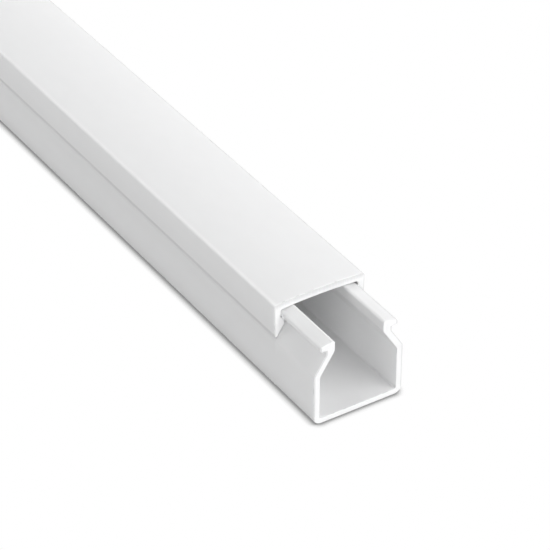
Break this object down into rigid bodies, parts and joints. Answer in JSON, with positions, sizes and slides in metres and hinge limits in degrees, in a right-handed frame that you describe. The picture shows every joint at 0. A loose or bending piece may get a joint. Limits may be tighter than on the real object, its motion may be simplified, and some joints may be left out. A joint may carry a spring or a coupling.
{
  "type": "cable trunking",
  "caption": "Straight length of white plastic mini trunking: a channel with hooked lips that holds cables on a wall, closed by a snap lid that slides along it.",
  "frame": {"origin": "middle of the base's back face, the flat side that lies on the wall or floor", "axes": "+X along the stock, towards the end where the lid is drawn back; +Y across it; +Z out of the wall, towards the lid"},
  "size_m": [2.0108, 0.0164, 0.016],
  "materials": {
    "base_plastic": "satin extruded white",
    "lid_plastic": "satin extruded white"
  },
  "bodies": {
    "base": {"base": "base_plastic"},
    "lid": {"lid": "lid_plastic"}
  },
  "joints": [
    {"name": "lid_slide", "type": "slide", "parent": "base", "child": "lid", "axis": [1, 0, 0], "range_m": [-2, 0.0108]}
  ]
}
